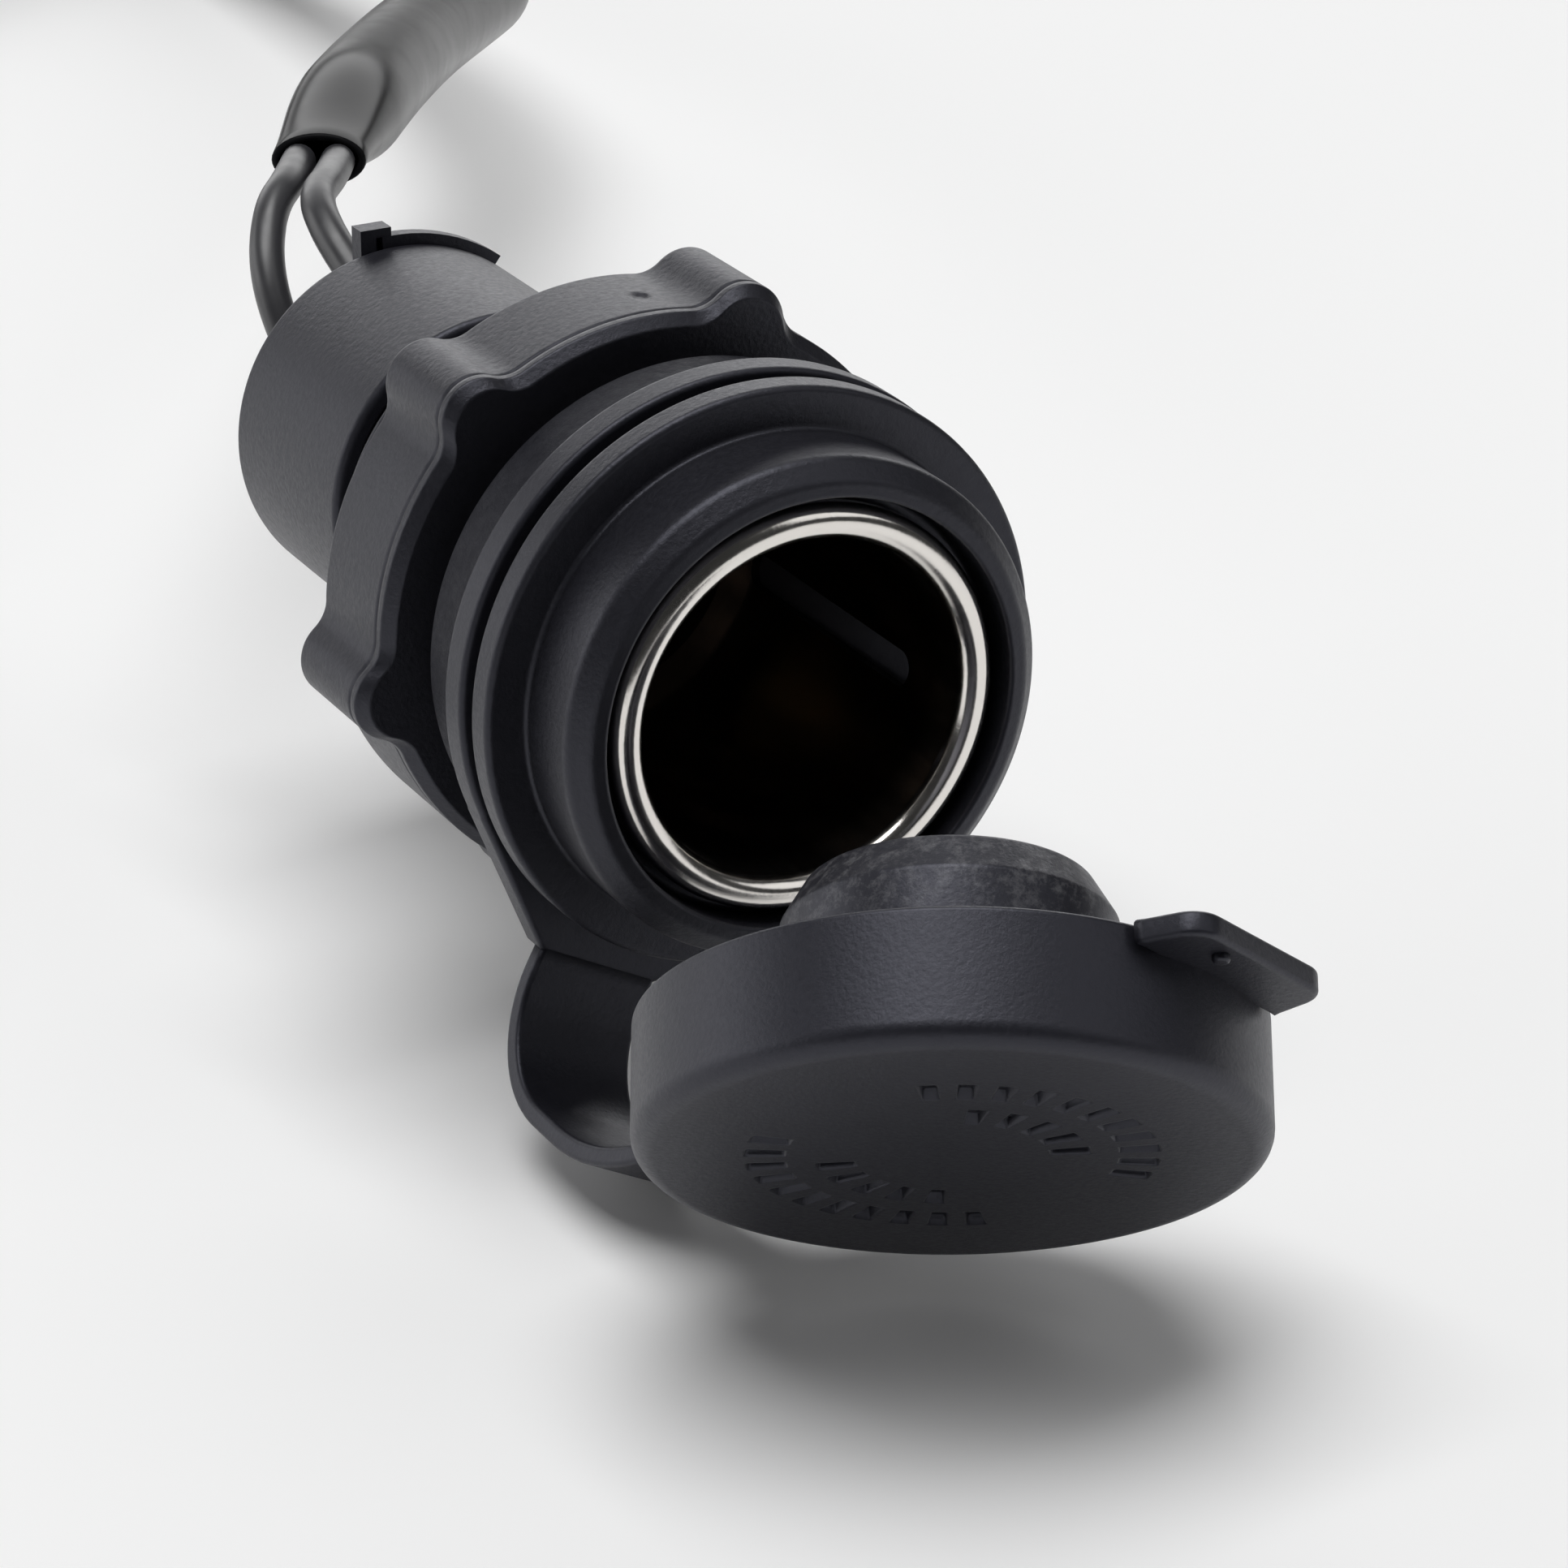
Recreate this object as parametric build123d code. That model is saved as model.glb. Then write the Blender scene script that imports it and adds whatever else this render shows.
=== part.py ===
# Panel-mount 12 V accessory socket with a tethered rubber cap and a sleeved two-core lead.
# Millimetres. The socket's axis is Y with its mouth toward -Y, and +Z is up.
# The origin is on the axis where a panel's front face meets the gasket.
import os
from math import cos, pi, radians, sin, tan

from build123d import *

# Socket: standard 21 mm accessory bore, everything else follows from it
bore_r = 10.5
sleeve_wall = 0.6
lip_roll_r = 1.05
lip_skirt = 0.5
step_y = 12.0
step_in = 1.1
snug = 0.05
collar_bore_r = bore_r + 2.8
collar_r = bore_r + 5.0
collar_len = 6.1
collar_edge = 1.2
mouth_inset = 0.55
recess = 1.4
flange_r = bore_r + 7.6
flange_t = 2.2
flange_boss_t = 1.05

# Panel stack behind the flange: tether ring, gasket, panel gap, ring nut
ring_r = flange_r + 0.1
ring_t = 2.3
gasket_t = 5.4
thread_r = 13.8
gasket_r = thread_r + 2.9
thread_depth = 0.8
flange_boss_r = thread_r + 2.2
thread_pitch = 2.5
thread_start = 1.0
thread_turns = 7
thread_end = 19.6
panel_gap = 2.4
nut_t = 8.9
nut_valley_r = thread_r + 4.6
nut_lobe_apex_r = nut_valley_r + 2.05
nut_lobe_r = 2.6
nut_hollow_r = 2.4
nut_lobes = 6
nut_clock = 20.5
nut_clearance = 0.12

# Rear end: wall that carries the contacts, spigot, push-on cover and lid
wall_t = 2.6
spigot_r = 10.6
spigot_wall = 1.6
spigot_end = 31.0
cover_r = 11.85
cover_start = 24.6
cover_end = 40.6
lid_t = 1.6
lid_lip_r = 12.5
lid_lip_t = 0.9
lid_lip_from = -4.0
lid_lip_to = 38.0
lid_lip_inner_r = spigot_r - 1.5
bridge_x0 = 2.0
bridge_x1 = 5.0
bridge_drop = 1.1
bridge_t = 0.7
latch_x0 = -2.4
latch_x1 = -0.2
latch_z0 = 10.4
latch_z1 = 13.1
latch_t = 1.5
latch_wall = 0.6

# Contacts
stud_r = 2.0
stud_end = 25.0
head_r = 4.5
head_t = 2.2
head_edge_r = 1.4
washer_r = 3.7
washer_t = 0.8
stud_nut_flat_r = 3.5
stud_nut_t = 2.4
insulator_r = 8.5
insulator_t = 1.6
insulator_boss_r = 5.2
slot_w = 2.2
slot_from = -10.0
slot_to = 10.0
slot_clock = 101.0
blade_w = 6.3
blade_t = 0.8
blade_gap = 0.1
blade_foot = -3.6
blade_end = 30.5
live_z = 5.4
ground_z = -6.0
receptacle_from = 24.0
receptacle_to = 34.0
receptacle_w = 7.6
receptacle_t = 2.6
crimp_len = 3.0
crimp_wall = 0.5

# Cap, strap and the axis that the strap bends about
cap_r = 17.4
cap_wall = 1.3
cap_lead = 0.4
cap_h = 7.6
cap_floor = 1.4
cap_edge_r = 1.2
cap_seat_gap = 0.1
plug_r = 9.4
plug_reach = 8.0
plug_bevel_len = 2.4
plug_bevel = 1.4
tab_clock = 13.0
tab_reach = 3.1
tab_w = 11.8
tab_t = 1.4
tab_corner_r = 1.8
tab_flare = 1.0
tab_root = 2.4
pip_r = 0.5
pip_h = 0.4
pip_across = 2.5
pip_in = 1.25
strap_clock = 28.0
strap_w = 8.4
strap_t = 1.2
lug_reach = 20.4
lug_root_half = 12.4
lug_root_out = 13.4
pad_up = 2.0
pad_reach = 1.2
pad_mid = 2.7
pad_t = 5.0
pad_edge_r = 1.0
pad_sunk = 0.8
strap_low = 28.5
strap_drop_r = 7.0
strap_rise_r = 14.0
hinge_forward = -0.96
hinge_out = 37.18
cap_open = 49.2

# Lead: two cores in a sleeve, the spare length in a flat coil on the floor
core_d = 2.4
sheath_d = 8.2
core_pitch = 2.7
core_hole_gap = 0.3
floor_gap = 0.9
coil_turns = 2
coil_mid_r = 41.0
coil_h = 8.5
coil_lead_in = 28.0
coil_end_r = 24.6
coil_end_turn = 155.0
tie_w = 4.5
tie_t = 0.8
tie_slack = 0.6
tie_head = 4.4
tail_core = 8.0
tail_spread = 4.4
eye_r = 4.8
eye_hole_r = 2.65
eye_t = 0.9
barrel_len = 5.0
neck_len = 4.0
neck_w = 3.2

# Stations along Y worked out from the stack
ring_back = -gasket_t
ring_front = ring_back - ring_t
flange_back = ring_front - flange_boss_t
flange_front = flange_back - flange_t
collar_front = flange_front - collar_len
mouth_y = collar_front + mouth_inset
lip_y = mouth_y + lip_roll_r
sleeve_r = bore_r + sleeve_wall
wall_front = thread_end - wall_t
sleeve_back = wall_front
nut_front = panel_gap
rim_y = flange_front - cap_seat_gap

# The strap's own plane: x runs forward out of the mouth, y out along the strap, z across it
out_dir = Vector(-sin(radians(strap_clock)), 0, -cos(radians(strap_clock)))
forward_dir = Vector(0, -1, 0)
strap_plane = Plane(origin=(0, mouth_y, 0), x_dir=forward_dir, z_dir=forward_dir.cross(out_dir))
hinge_axis = Axis(strap_plane.from_local_coords((hinge_forward, hinge_out, 0)), strap_plane.z_dir)


def turned(*points):
    # Solid of revolution about Y from (radius, y) corners
    return revolve(make_face(Polyline(*points, close=True)), Axis.Y)


def bar_y(x, z, radius, y0, y1):
    # Round bar along Y
    return extrude(Plane(origin=(x, y0, z), z_dir=(0, 1, 0)) * Circle(radius), y1 - y0)


def block(x0, x1, y0, y1, z0, z1):
    return Pos((x0 + x1) / 2, (y0 + y1) / 2, (z0 + z1) / 2) * Box(x1 - x0, y1 - y0, z1 - z0)


def thread_profile(major, depth, y0):
    # Flat crest and V groove for each turn, as closed rings
    points = []
    for turn in range(thread_turns):
        y = y0 + turn * thread_pitch
        points.append((major, y))
        points.append((major - depth, y + 0.5 * thread_pitch))
    return points


def socket_body():
    front = [(collar_bore_r, collar_front), (collar_r - collar_edge, collar_front + 0.1)]
    front += [(collar_r, collar_front + collar_edge), (collar_r, flange_front)]
    front += [(flange_r, flange_front), (flange_r, flange_back)]
    front += [(flange_boss_r, flange_back), (flange_boss_r, ring_front), (thread_r, ring_front)]
    thread = thread_profile(thread_r, thread_depth, thread_start)
    rear = [(thread_r, thread_end), (spigot_r, thread_end), (spigot_r, spigot_end)]
    rear += [(spigot_r - spigot_wall, spigot_end), (spigot_r - spigot_wall, thread_end)]
    rear += [(stud_r + snug, thread_end), (stud_r + snug, wall_front)]
    inside = [(sleeve_r - step_in + snug, wall_front), (sleeve_r - step_in + snug, step_y + snug)]
    inside += [(sleeve_r + snug, step_y + snug), (sleeve_r + snug, lip_y + recess)]
    inside += [(collar_bore_r, lip_y + recess)]
    body = turned(*front, *thread, *rear, *inside)
    half = blade_w / 2 + blade_gap
    slit = blade_t / 2 + blade_gap
    return body - block(-half, half, wall_front, thread_end, ground_z - slit, ground_z + slit)


def nut_thread_profile():
    # Inner ridges that lie in the barrel's grooves with a running gap
    points = []
    first = thread_start + thread_pitch
    for turn in range(4):
        y = first + (turn - 0.5) * thread_pitch
        if nut_front + 0.6 < y < nut_front + nut_t - 0.6:
            points.append((thread_r + nut_clearance, y - 0.4 * thread_pitch))
            points.append((thread_r + nut_clearance - 0.8 * thread_depth, y))
            points.append((thread_r + nut_clearance, y + 0.4 * thread_pitch))
    return points


def ring_nut():
    lobe_ring = PolarLocations(nut_lobe_apex_r - nut_lobe_r, nut_lobes, 90 + nut_clock)
    outline = Circle(nut_valley_r) + [place * Circle(nut_lobe_r) for place in lobe_ring]
    outline = fillet(outline.vertices(), nut_hollow_r)
    front = Plane(origin=(0, nut_front, 0), x_dir=(1, 0, 0), z_dir=(0, 1, 0))
    blank = extrude(front * outline, nut_t)
    blank = chamfer(blank.faces().sort_by(Axis.Y)[0].outer_wire().edges(), 0.7)
    back = nut_front + nut_t
    bore = [(0, nut_front), (thread_r + nut_clearance, nut_front)]
    bore += nut_thread_profile()
    bore += [(thread_r + nut_clearance, back), (0, back)]
    return blank - turned(*bore)


def panel_gasket():
    inner = thread_r + snug
    return turned((inner, ring_back), (gasket_r, ring_back), (gasket_r, 0), (inner, 0))


def tether_ring():
    # Ring with straight flanks that run out to the strap's root
    flat = Circle(ring_r)
    flank = [(-lug_root_half, lug_root_out), (-strap_w / 2, lug_reach), (strap_w / 2, lug_reach)]
    flank += [(lug_root_half, lug_root_out), (0, lug_root_out / 2)]
    flat += make_face(Polyline(*flank, close=True))
    flat -= Circle(thread_r + snug)
    across = Plane(origin=(0, ring_front, 0), x_dir=strap_plane.z_dir, z_dir=(0, 1, 0))
    return extrude(across * flat, ring_t)


def cap_closed():
    # Skirt, floor and plug in the closed place, face toward -Y
    face_y = rim_y - cap_h
    floor_y = face_y + cap_floor
    tip_y = rim_y + plug_reach
    skin = [(0, face_y), (cap_r, face_y), (cap_r, rim_y), (cap_r - cap_wall + cap_lead, rim_y)]
    skin += [(cap_r - cap_wall, rim_y - 2 * cap_lead), (cap_r - cap_wall, floor_y)]
    skin += [(plug_r, floor_y), (plug_r, tip_y - plug_bevel_len)]
    skin += [(plug_r - plug_bevel, tip_y), (0, tip_y)]
    cap = turned(*skin)
    rounded = cap.edges().filter_by(GeomType.CIRCLE).sort_by(Axis.Y)[0]
    return fillet(rounded, cap_edge_r) + cap_tab() + cap_pad()


def cap_tab():
    # Finger tab on the rim, away from the strap, with a pip on the side toward the face
    turn = Plane(origin=(0, rim_y, 0), x_dir=strap_plane.z_dir, z_dir=(0, 1, 0))
    clock = Rot(0, 0, 180 + tab_clock)
    pip = clock * Pos(pip_across, cap_r + tab_reach - pip_in) * Circle(pip_r)
    tab = extrude(turn * clock * tab_plate(), -tab_t) + extrude(turn * pip, -tab_t - pip_h)
    middle = cap_r - cap_wall / 2
    clear = turned((0, rim_y + 1), (middle, rim_y + 1), (middle, rim_y - cap_h), (0, rim_y - cap_h))
    return tab - clear


def tab_plate():
    # Outline of the tab: wider at its root, round at its outer corners
    half = tab_w / 2
    root = cap_r - tab_root
    end = cap_r + tab_reach
    lip = [(-half - tab_flare, root), (-half, end), (half, end), (half + tab_flare, root)]
    plate = make_face(Polyline(*lip, close=True))
    return fillet(plate.vertices().group_by(Axis.Y)[-1], tab_corner_r)


def cap_pad():
    # Flat-topped root for the strap on the side of the skirt
    forward = mouth_y - rim_y + pad_mid
    pad = Box(pad_t, pad_reach + pad_sunk, strap_w)
    pad = fillet(pad.edges().filter_by(Axis.Z).group_by(Axis.Y)[-1], pad_edge_r)
    return strap_plane * Pos(forward, cap_r + (pad_reach - pad_sunk) / 2, 0) * pad


def cap():
    return cap_closed().rotate(hinge_axis, cap_open)


def pad_end():
    # Where the strap meets the open cap: point and direction into the cap, in the strap's plane
    swing = radians(cap_open)
    arm_forward = mouth_y - rim_y + pad_up - hinge_forward
    arm_out = cap_r + pad_reach - hinge_out
    forward = hinge_forward + arm_forward * cos(swing) - arm_out * sin(swing)
    out = hinge_out + arm_forward * sin(swing) + arm_out * cos(swing)
    return forward, out, (sin(swing), -cos(swing))


def tether_strap():
    # Flat band: out from the lug's front, forward under the socket, up into the cap
    root = mouth_y - ring_front - strap_t / 2
    end_forward, end_out, heading = pad_end()
    rise = end_forward - (strap_low - end_out) * heading[0] / -heading[1]
    corners = [(root, lug_reach), (root, strap_low), (rise, strap_low), (end_forward, end_out)]
    line = FilletPolyline(*corners, radius=[strap_drop_r, strap_rise_r])
    return extrude(strap_plane * trace(line, strap_t), strap_w / 2, both=True)


def contact_sleeve():
    # Drawn cup: rolled lip, slotted wall, a step down and a bottom with a hole for the insulator
    back = sleeve_back - sleeve_wall
    shoulder = step_y - sleeve_wall
    lip_r = bore_r + 2 * lip_roll_r
    step_r = sleeve_r - step_in
    hole_r = insulator_boss_r + snug
    roll = ThreePointArc((bore_r, lip_y), (bore_r + lip_roll_r, mouth_y), (lip_r, lip_y))
    rest = [(lip_r, lip_y), (lip_r, lip_y + lip_skirt), (sleeve_r, lip_y + lip_skirt), (sleeve_r, step_y)]
    rest += [(step_r, step_y), (step_r, sleeve_back), (hole_r, sleeve_back), (hole_r, back)]
    rest += [(bore_r - step_in, back), (bore_r - step_in, shoulder), (bore_r, shoulder), (bore_r, lip_y)]
    shell = revolve(make_face([roll, Polyline(*rest)]), Axis.Y)
    for side in (slot_clock, slot_clock + 180):
        shell -= Rot(0, side, 0) * sleeve_slot()
    return shell


def sleeve_slot():
    # Round-ended slot through the wall, straight up before it is turned into place
    middle = (slot_from + slot_to) / 2
    flat = Plane(origin=(0, middle, bore_r - 1), x_dir=(0, 1, 0), z_dir=(0, 0, 1))
    return extrude(flat * SlotOverall(slot_to - slot_from, slot_w), 3)


def contact_insulator():
    inner = stud_r + snug
    back = sleeve_back - sleeve_wall
    front = back - insulator_t
    return turned((inner, front), (insulator_r, front), (insulator_r, back), (insulator_boss_r, back),
                  (insulator_boss_r, sleeve_back), (inner, sleeve_back))


def centre_contact():
    seat = sleeve_back - sleeve_wall - insulator_t
    head = [(0, seat - head_t), (head_r, seat - head_t), (head_r, seat)]
    pin = turned(*head, (stud_r, seat), (stud_r, stud_end), (0, stud_end))
    return fillet(pin.edges().filter_by(GeomType.CIRCLE).sort_by(Axis.Y)[0], head_edge_r)


def live_blade():
    half = blade_w / 2
    top = live_z + blade_t / 2
    plate = block(-half, half, thread_end, thread_end + blade_t, blade_foot, top)
    plate -= bar_y(0, 0, stud_r + snug, thread_end, thread_end + blade_t)
    tongue = block(-half, half, thread_end, blade_end, live_z - blade_t / 2, top)
    return plate + tongue


def ground_blade():
    half = blade_w / 2
    return block(-half, half, sleeve_back, blade_end, ground_z - blade_t / 2, ground_z + blade_t / 2)


def lock_washer():
    front = thread_end + blade_t
    back = front + washer_t
    return bar_y(0, 0, washer_r, front, back) - bar_y(0, 0, stud_r + snug, front, back)


def stud_nut():
    front = thread_end + blade_t + washer_t
    hexagon = RegularPolygon(stud_nut_flat_r, 6, major_radius=False)
    nut = extrude(Plane(origin=(0, front, 0), x_dir=(1, 0, 0), z_dir=(0, 1, 0)) * hexagon, stud_nut_t)
    return nut - bar_y(0, 0, stud_r + snug, front, front + stud_nut_t)


def receptacle(z):
    # Folded push-on sleeve: open in front for the blade, closed round the core behind
    half = receptacle_w / 2
    thick = receptacle_t / 2
    crimp_from = receptacle_to - crimp_len
    box = block(-half, half, receptacle_from, crimp_from, z - thick, z + thick)
    crimp = bar_y(0, z, core_d / 2 + crimp_wall, crimp_from, receptacle_to)
    room = blade_t / 2 + snug
    wide = blade_w / 2 + blade_gap
    pocket = block(-wide, wide, receptacle_from, blade_end + crimp_wall, z - room, z + room)
    return box + crimp - pocket


def rear_cover():
    inner = spigot_r + snug
    return turned((inner, cover_start), (cover_r, cover_start), (cover_r, cover_end), (inner, cover_end))


def rear_lid():
    # Push-in disc with two core holes, a raised lip over the cover's edge and a small latch block
    disc = bar_y(0, 0, spigot_r, cover_end - lid_t, cover_end)
    for path in (live_core_route(), ground_core_route()):
        disc -= core_tube(path, core_d + core_hole_gap)
    front = cover_end + snug
    back = front + lid_lip_t
    lip = bar_y(0, 0, lid_lip_r, front, back) - bar_y(0, 0, lid_lip_inner_r, front, back)
    wedge = [(0, 0)]
    for clock in (lid_lip_from, lid_lip_to):
        wedge.append((2 * lid_lip_r * sin(radians(clock)), 2 * lid_lip_r * cos(radians(clock))))
    upright = Plane(origin=(0, cover_end, 0), x_dir=(1, 0, 0), z_dir=(0, -1, 0))
    lip &= extrude(upright * make_face(Polyline(*wedge, close=True)), 2 * lid_lip_t, both=True)
    under = lid_lip_inner_r - bridge_drop
    bridge = block(bridge_x0, bridge_x1, cover_end - lid_t, back, under, under + bridge_t)
    return disc + lip + bridge + lid_latch()


def lid_latch():
    # Open hook beside the lip
    front = cover_end + snug
    hook = block(latch_x0, latch_x1, front, cover_end + latch_t, latch_z0, latch_z1)
    middle = (latch_x0 + latch_x1) / 2
    back = cover_end + latch_t - latch_wall
    notch = block(middle, latch_x1, cover_end, back, latch_z0, latch_z1 - latch_wall)
    return hook - notch


def corner_radii(points):
    # Largest arc that each pair of neighbouring runs allows
    radii = []
    for before, here, after in zip(points, points[1:], points[2:]):
        first = Vector(*here) - Vector(*before)
        second = Vector(*after) - Vector(*here)
        half_turn = radians(first.get_angle(second)) / 2
        radii.append(0.45 * min(first.length, second.length) / tan(half_turn))
    return radii


def core_tube(points, diameter):
    # Round tube along straight runs joined by tangent arcs
    path = FilletPolyline(*points, radius=corner_radii(points))
    start = Plane(origin=path @ 0, z_dir=path % 0)
    return sweep(start * Circle(diameter / 2), path=path)


def live_core_route():
    return [(0, receptacle_to, live_z), (0, 40.2, live_z), (-1.0, 44.6, 8.4), (-1.5, 48.4, 10.8),
            (-0.5, 52.6, 11.9), core_mouth(1, -5.0), core_mouth(1, 0.0)]


def ground_core_route():
    return [(0, receptacle_to, ground_z), (0, 40.6, ground_z), (-2.4, 45.4, -2.8), (-4.6, 48.2, 3.0),
            (-5.0, 51.0, 7.6), (-3.0, 54.6, 10.8), core_mouth(-1, -5.5), core_mouth(-1, 0.0)]


def sheath_route():
    floor_z = coil_z()
    return [(3.8, 61.8, 11.2), (8.3, 69.9, 10.4), (15.0, 81.2, 8.6), (24.6, 97.7, 5.4),
            (37.7, 119.7, 0.8), (52.2, 142.1, -4.0), (60.9, 154.8, -6.4), (66.0, 169.5, -7.8),
            (70.0, 187.0, -9.6), (71.0, 204.5, -11.8), (71.1, 222.0, -14.6), (71.0, 238.0, -18.2),
            (71.0, 250.0, -20.9), (71.0, 259.0, floor_z), (71.0, 266.0, floor_z)]


def core_mouth(side, along):
    # Centre of one core where it enters the sleeve
    route = sheath_route()
    heading = (Vector(*route[1]) - Vector(*route[0])).normalized()
    across = heading.cross(Vector(0, 0, 1)).normalized()
    spot = Vector(*route[0]) + across * (side * core_pitch / 2) + heading * along
    return (spot.X, spot.Y, spot.Z)


def floor_level():
    # Lowest line of the strap, which the open socket lies on
    low = strap_low + strap_t / 2
    return -low * cos(radians(strap_clock)) - strap_w / 2 * sin(radians(strap_clock))


def coil_z():
    return floor_level() + floor_gap + coil_h / 2


def coil_frame():
    # Coil centre, square to the left of where the lead-in meets the outer turn
    last = Vector(*sheath_route()[-1])
    heading = (last - Vector(*sheath_route()[-2])).normalized()
    outer = coil_mid_r + (coil_turns - 1) / 2 * sheath_d
    return last + heading * coil_lead_in + Vector(0, 0, 1).cross(heading) * outer


def coil_end():
    # Arc that brings the inner turn into the middle of the coil
    centre = coil_frame()
    inner = coil_mid_r - (coil_turns - 1) / 2 * sheath_d
    pivot = centre + Vector(0, coil_end_r - inner, 0)
    return JernArc((pivot.X, pivot.Y - coil_end_r, pivot.Z), (1, 0, 0), coil_end_r, coil_end_turn)


def sheath_coil():
    centre = coil_frame()
    half = coil_turns * sheath_d / 2
    place = Pos(centre.X, centre.Y, centre.Z)
    ring = place * Cylinder(coil_mid_r + half, coil_h) - place * Cylinder(coil_mid_r - half, coil_h)
    last = Vector(*sheath_route()[-1])
    heading = (last - Vector(*sheath_route()[-2])).normalized()
    lead_in = extrude(Plane(origin=last, z_dir=heading) * Circle(sheath_d / 2), coil_lead_in)
    arc = coil_end()
    end = sweep(Plane(origin=arc @ 0, z_dir=arc % 0) * Circle(sheath_d / 2), path=arc)
    return ring + lead_in + end


def coil_tie():
    # Flat band round the turns on the coil's near side, with its square head outward
    centre = coil_frame()
    across = coil_turns * sheath_d + tie_slack
    ring = Box(tie_w, across + 2 * tie_t, coil_h + 2 * tie_t) - Box(tie_w, across, coil_h)
    low = coil_h / 2 + tie_t - tie_head / 2
    head = Pos(0, across / 2 + tie_head / 4, low) * Box(tie_w + 1, tie_head / 2, tie_head)
    return Pos(centre.X, centre.Y - coil_mid_r, centre.Z) * Rot(0, 0, 180) * (ring + head)


def tail_route(side):
    # One core from the sleeve's far end, spread so that the two eyes lie side by side
    arc = coil_end()
    heading = (arc % 1).normalized()
    across = heading.cross(Vector(0, 0, 1)) * side
    start = (arc @ 1) + across * (core_pitch / 2)
    bend = start + heading * (tail_core / 2)
    end = bend + heading * (tail_core / 2) + across * (tail_spread - core_pitch / 2)
    return [start, bend, end]


def ring_terminal(side):
    # Crimped eye on the far end of one core
    route = tail_route(side)
    heading = (route[2] - route[1]).normalized()
    place = Plane(origin=route[2], x_dir=heading, z_dir=(0, 0, 1))
    eye_at = place * Pos(barrel_len + 1 + eye_r, 0, 0)
    barrel = Rot(0, 90, 0) * Cylinder(core_d / 2 + crimp_wall, barrel_len)
    barrel = place * Pos(barrel_len / 2, 0, 0) * barrel
    neck = place * Pos(barrel_len + neck_len / 8, 0, 0) * Box(neck_len, neck_w, eye_t)
    return barrel + neck + eye_at * Cylinder(eye_r, eye_t) - eye_at * Cylinder(eye_hole_r, eye_t)


nodes = {
    "socket_body": socket_body(),
    "ring_nut": ring_nut(),
    "panel_gasket": panel_gasket(),
    "tether_ring": tether_ring(),
    "tether_strap": tether_strap(),
    "cap": cap(),
    "contact_sleeve": contact_sleeve(),
    "contact_insulator": contact_insulator(),
    "centre_contact": centre_contact(),
    "live_blade": live_blade(),
    "ground_blade": ground_blade(),
    "lock_washer": lock_washer(),
    "stud_nut": stud_nut(),
    "live_receptacle": receptacle(live_z),
    "ground_receptacle": receptacle(ground_z),
    "rear_cover": rear_cover(),
    "rear_lid": rear_lid(),
    "live_core": core_tube(live_core_route(), core_d),
    "ground_core": core_tube(ground_core_route(), core_d),
    "lead_sheath": core_tube(sheath_route(), sheath_d),
    "lead_coil": sheath_coil(),
    "coil_tie": coil_tie(),
    "live_tail": core_tube([tuple(p) for p in tail_route(1)], core_d),
    "ground_tail": core_tube([tuple(p) for p in tail_route(-1)], core_d),
    "live_terminal": ring_terminal(1),
    "ground_terminal": ring_terminal(-1),
}
os.makedirs("parts", exist_ok=True)
for name, solid in nodes.items():
    export_step(solid, "parts/" + name + ".step")
cords = {
    "live core": (live_core_route(), core_d),
    "ground core": (ground_core_route(), core_d),
    "sheath": (sheath_route(), sheath_d),
}
for name, (route, diameter) in cords.items():
    run = FilletPolyline(*route, radius=corner_radii(route)).length
    ratio = core_tube(route, diameter).volume / (pi * diameter**2 / 4 * run)
    print(name, "radii", [round(r, 1) for r in corner_radii(route)])
    print(name, "length", round(run, 1), "volume ratio", round(ratio, 4))
print("floor", round(floor_level(), 3), "hinge", hinge_axis.position, hinge_axis.direction)
strap_run = nodes["tether_strap"].volume / (strap_w * strap_t)
print("cap low", round(nodes["cap"].bounding_box().min.Z, 2), "strap length", round(strap_run, 2))
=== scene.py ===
import bpy
import numpy as np
from mathutils import Matrix


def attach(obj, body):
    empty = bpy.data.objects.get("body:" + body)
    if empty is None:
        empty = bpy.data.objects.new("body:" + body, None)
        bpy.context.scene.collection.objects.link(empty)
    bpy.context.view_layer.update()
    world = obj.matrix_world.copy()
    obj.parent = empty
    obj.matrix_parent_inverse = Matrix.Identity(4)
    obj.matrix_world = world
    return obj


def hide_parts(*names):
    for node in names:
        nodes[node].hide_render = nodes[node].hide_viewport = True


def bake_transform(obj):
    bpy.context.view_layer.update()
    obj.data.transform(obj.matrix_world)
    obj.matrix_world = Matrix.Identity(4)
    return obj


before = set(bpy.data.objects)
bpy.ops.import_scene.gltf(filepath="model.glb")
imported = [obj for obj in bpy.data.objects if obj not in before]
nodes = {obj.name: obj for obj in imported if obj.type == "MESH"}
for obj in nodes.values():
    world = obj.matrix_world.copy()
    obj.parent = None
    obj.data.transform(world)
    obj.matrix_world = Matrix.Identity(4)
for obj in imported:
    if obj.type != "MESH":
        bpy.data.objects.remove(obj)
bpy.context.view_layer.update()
mm = 0.001

# What a user would change, one table for each piece
camera = dict(at=(-132.17, -258.15, 119.69), right=(0.8799, -0.4751, 0.0),
              up=(0.1953, 0.3616, 0.9116), lens=118.89, sensor=36.0)
floor = dict(z=-27.7, size=24.0, white=0.95, rough=0.9, specular=0.1)
body = dict(collarBore=13.3, collar=15.5, collarFront=-17.05, collarEdge=1.2, collarSlope=0.1,
            flange=18.1, flangeFront=-10.95, flangeBack=-8.75, boss=16.0, bossBack=-7.7, thread=13.8,
            threadStart=1.0, threadTurns=7, threadPitch=2.5, threadDepth=0.8, threadEnd=19.6, crest=0.15,
            spigot=10.6, spigotIn=9.0, spigotEnd=31.0, stud=2.05, wallFront=17.0,
            seatStep=12.05, seat=11.15, seatIn=10.05, recess=-14.05)
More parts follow.
